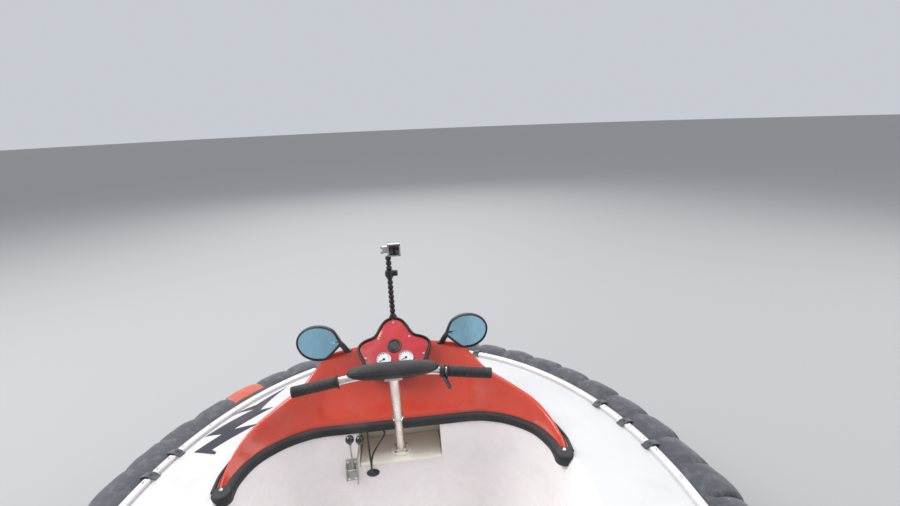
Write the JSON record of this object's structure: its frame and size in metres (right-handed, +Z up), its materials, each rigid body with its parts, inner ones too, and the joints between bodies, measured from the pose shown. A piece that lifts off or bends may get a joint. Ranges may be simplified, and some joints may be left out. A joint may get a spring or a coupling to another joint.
{
  "type": "hovercraft",
  "caption": "Light two-seat hovercraft with a fingered skirt, a straddle cockpit under a sweeping cowl, handlebar steering, a ducted fan and coupled rudders.",
  "frame": {"origin": "on the ground, under the middle of the craft's length and width", "axes": "+X starboard, +Y forward to the bow, +Z up"},
  "size_m": [1.9902, 3.3514, 1.48],
  "materials": {
    "white_gelcoat": "glossy moulded glass fibre, slightly dusty",
    "cream_gelcoat": "satin cream moulding",
    "red_gelcoat": "high gloss red moulding",
    "skirt_fabric": "coated nylon, dull, wet and dusty",
    "black_rubber": "matt edge trim, grips and belt",
    "black_plastic": "satin black moulding",
    "black_paint": "powder coated tube",
    "stainless": "brushed stainless tube",
    "alloy": "dull alloy",
    "dial_face": "white dial under a clear lens",
    "mirror_glass": "blue tinted mirror",
    "seat_vinyl": "black grained vinyl",
    "skid_plastic": "scuffed black runner"
  },
  "bodies": {
    "hull": {"hull": "white_gelcoat", "deck": "white_gelcoat", "cockpit_tub": "white_gelcoat", "rim_rail": "white_gelcoat", "seat_pedestal": "white_gelcoat", "duct": "white_gelcoat", "duct_base": "white_gelcoat", "air_splitter": "white_gelcoat", "column_shelf": "cream_gelcoat", "cowl": "red_gelcoat", "dash_panel": "red_gelcoat", "engine_cover": "red_gelcoat", "side_pod_port": "red_gelcoat", "side_pod_starboard": "red_gelcoat", "skirt_bow": "skirt_fabric", "skirt_port": "skirt_fabric", "skirt_stern": "skirt_fabric", "skirt_starboard": "skirt_fabric", "cowl_trim": "black_rubber", "dash_housing": "black_rubber", "control_cables": "black_rubber", "drive_belt": "black_rubber", "dash_switch": "black_plastic", "camera_arm": "black_plastic", "action_camera": "black_plastic", "mirror_port": "black_plastic", "mirror_starboard": "black_plastic", "fan_frame": "black_paint", "column_sleeve": "stainless", "control_levers": "stainless", "exhaust_silencer": "stainless", "fan_guard": "stainless", "engine_block": "alloy", "fan_stators": "alloy", "rudder_rail_lower": "alloy", "rudder_rail_upper": "alloy", "gauge_port": "dial_face", "gauge_starboard": "dial_face", "mirror_glass_port": "mirror_glass", "mirror_glass_starboard": "mirror_glass", "seat_cushion": "seat_vinyl", "backrest_pad": "seat_vinyl", "skid_port": "skid_plastic", "skid_centre": "skid_plastic", "skid_starboard": "skid_plastic"},
    "steering": {"steering_stem": "stainless", "handlebar": "stainless", "grip_port": "black_rubber", "grip_starboard": "black_rubber", "handlebar_pad": "black_plastic", "throttle_lever": "black_plastic"},
    "fan": {"fan": "black_plastic", "fan_shaft": "stainless", "fan_pulley": "alloy"},
    "engine_pulley": {"engine_pulley": "alloy"},
    "rudder_port": {"rudder_port": "red_gelcoat"},
    "rudder_starboard": {"rudder_starboard": "red_gelcoat"},
    "tie_rod": {"rudder_tie_rod": "stainless"}
  },
  "joints": [
    {"name": "steering_turn", "type": "hinge", "parent": "hull", "child": "steering", "pos_m": [0, 0.955, 0.4], "axis": [0, -0.2815, 0.9596], "range_deg": [-35, 35]},
    {"name": "fan_spin", "type": "hinge", "parent": "hull", "child": "fan", "pos_m": [0, -1.1, 1.005], "axis": [0, 1, 0], "continuous": true},
    {"name": "engine_spin", "type": "hinge", "parent": "hull", "child": "engine_pulley", "pos_m": [0, -0.86, 0.735], "axis": [0, 1, 0], "continuous": true},
    {"name": "rudder_port_turn", "type": "hinge", "parent": "hull", "child": "rudder_port", "pos_m": [-0.15, -1.51, 1.005], "axis": [0, 0, 1], "range_deg": [-28, 28]},
    {"name": "rudder_starboard_turn", "type": "hinge", "parent": "hull", "child": "rudder_starboard", "pos_m": [0.15, -1.51, 1.005], "axis": [0, 0, 1], "range_deg": [-28, 28]},
    {"name": "tie_rod_swing", "type": "hinge", "parent": "rudder_port", "child": "tie_rod", "pos_m": [-0.15, -1.596, 1.407], "axis": [0, 0, 1], "range_deg": [-28, 28]}
  ],
  "couplings": [
    {"joint": "engine_spin", "follows": "fan_spin", "ratio": 1.5},
    {"joint": "rudder_port_turn", "follows": "steering_turn", "ratio": -0.8},
    {"joint": "rudder_starboard_turn", "follows": "steering_turn", "ratio": -0.8},
    {"joint": "tie_rod_swing", "follows": "steering_turn", "ratio": 0.8}
  ]
}
